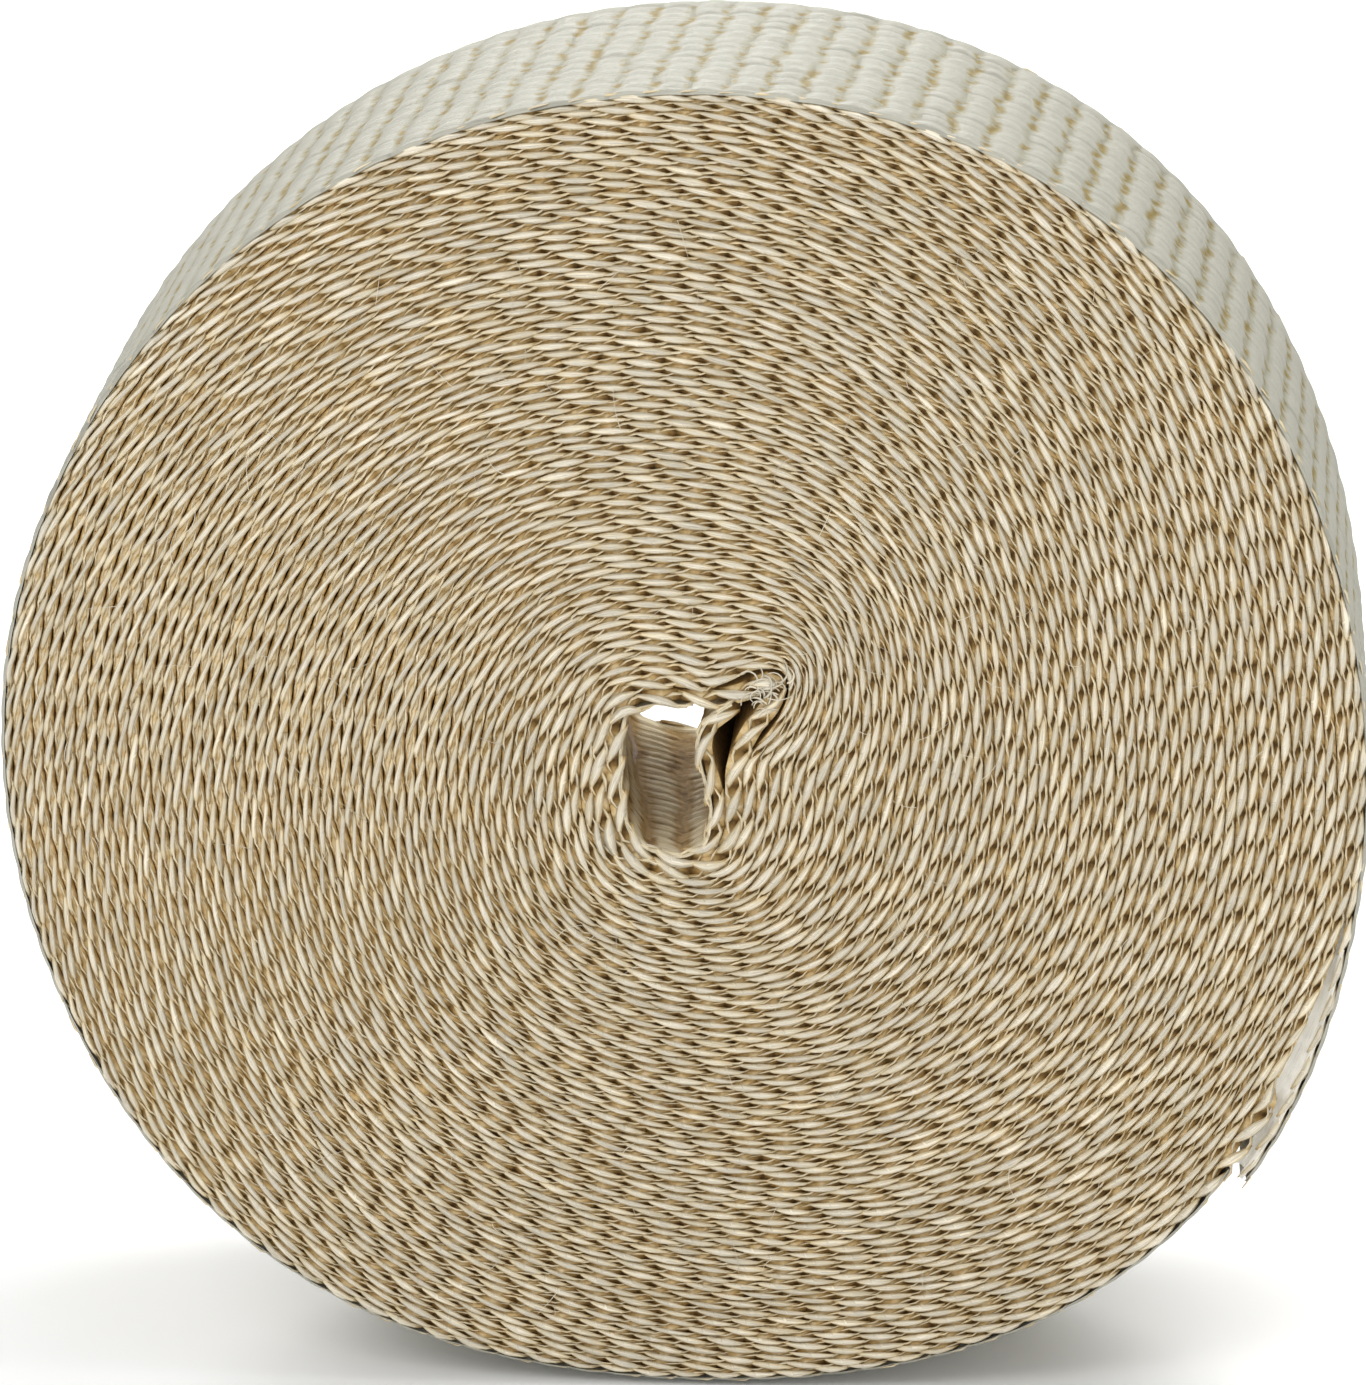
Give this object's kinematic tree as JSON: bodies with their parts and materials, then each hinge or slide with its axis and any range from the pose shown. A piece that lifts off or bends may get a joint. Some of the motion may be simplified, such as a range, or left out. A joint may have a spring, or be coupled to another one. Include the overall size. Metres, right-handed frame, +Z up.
{
  "type": "exhaust heat wrap",
  "caption": "Full roll of woven glass-fibre exhaust heat wrap, a flat tape wound on itself with no core, with a narrow oval bore, standing on its rim",
  "frame": {"origin": "on the floor, under the middle of the roll's bounding box", "axes": "+Y runs along the roll's axis from the end that faces the viewer to the far end, +Z is up, +X is to the viewer's right"},
  "size_m": [0.1548, 0.0508, 0.1517],
  "materials": {
    "woven_glass_fibre": "matt woven glass yarn, off-white to cream with tan shadows between the yarns"
  },
  "bodies": {
    "root": {"wound_wrap": "woven_glass_fibre"}
  },
  "joints": []
}
